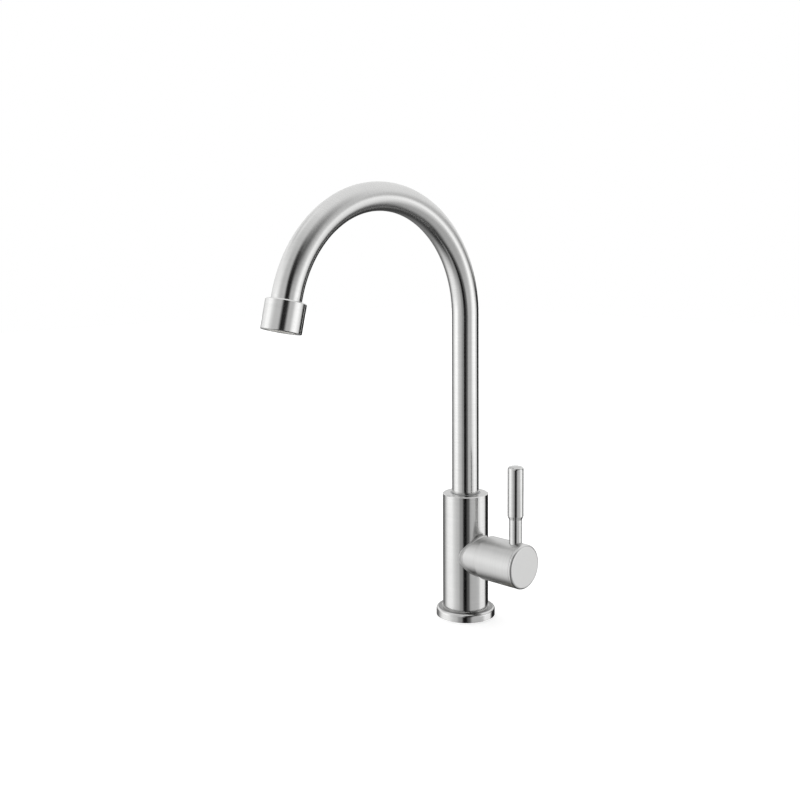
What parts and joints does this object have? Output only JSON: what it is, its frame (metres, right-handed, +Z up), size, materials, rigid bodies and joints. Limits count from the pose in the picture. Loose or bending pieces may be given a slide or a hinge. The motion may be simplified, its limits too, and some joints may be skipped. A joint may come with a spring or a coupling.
{
  "type": "kitchen faucet",
  "caption": "Tall gooseneck kitchen tap in brushed steel with a swivelling spout and an upright pin lever on a side barrel, clamped to the worktop by a threaded tail pipe.",
  "frame": {"origin": "centre of the base ring's underside, on the worktop's upper face", "axes": "+Z up along the riser, the spout reaches along -Y over the sink, the valve barrel and its lever stand out along +X"},
  "size_m": [0.0874, 0.2296, 0.41],
  "materials": {
    "brushed_steel": "fine brushed grain, turned pieces brushed round, tube and lever brushed round",
    "plain_steel": "plain bright steel, unbrushed",
    "brass": "turned brass, unplated",
    "rubber": "moulded black rubber, matt",
    "white_plastic": "moulded acetal, satin, off white",
    "grey_plastic": "moulded acetal, satin, light grey",
    "ceramic": "lapped alumina, satin",
    "red_fibre": "pressed red fibre, matt"
  },
  "bodies": {
    "base": {"body_shell": "brushed_steel", "valve_arm": "brushed_steel", "base_flange": "brushed_steel", "base_gasket": "rubber", "mounting_shank": "brass", "shank_seal": "red_fibre", "deck_rubber_washer": "rubber", "deck_steel_washer": "plain_steel", "mounting_nut": "brass", "spout_glide_ring": "grey_plastic", "spout_seat_washer": "grey_plastic", "spout_set_screw": "plain_steel", "cartridge_body": "brass", "cartridge_gasket": "red_fibre", "seat_seal": "rubber", "fixed_ceramic_disc": "ceramic", "arm_glide_ring": "grey_plastic"},
    "spout": {"spout_tube": "brushed_steel", "spout_foot": "brass", "spout_o_rings": "rubber", "aerator_adapter": "plain_steel", "aerator_housing": "brushed_steel", "aerator_washer": "rubber", "aerator_diffuser": "white_plastic", "aerator_screens": "plain_steel", "aerator_insert": "white_plastic"},
    "handle": {"spindle": "brass", "moving_ceramic_disc": "ceramic", "spindle_o_rings": "rubber", "spindle_clip": "plain_steel", "handle_barrel": "brushed_steel", "handle_screw": "plain_steel", "handle_end_cap": "brushed_steel", "lever_rod": "brushed_steel", "lever_grip": "brushed_steel"}
  },
  "joints": [
    {"name": "spout_swivel", "type": "hinge", "parent": "base", "child": "spout", "pos_m": [0, 0, 0], "axis": [0, 0, 1], "continuous": true},
    {"name": "handle_turn", "type": "hinge", "parent": "base", "child": "handle", "pos_m": [0, 0, 0.0525], "axis": [1, 0, 0], "range_deg": [0, 90]}
  ]
}
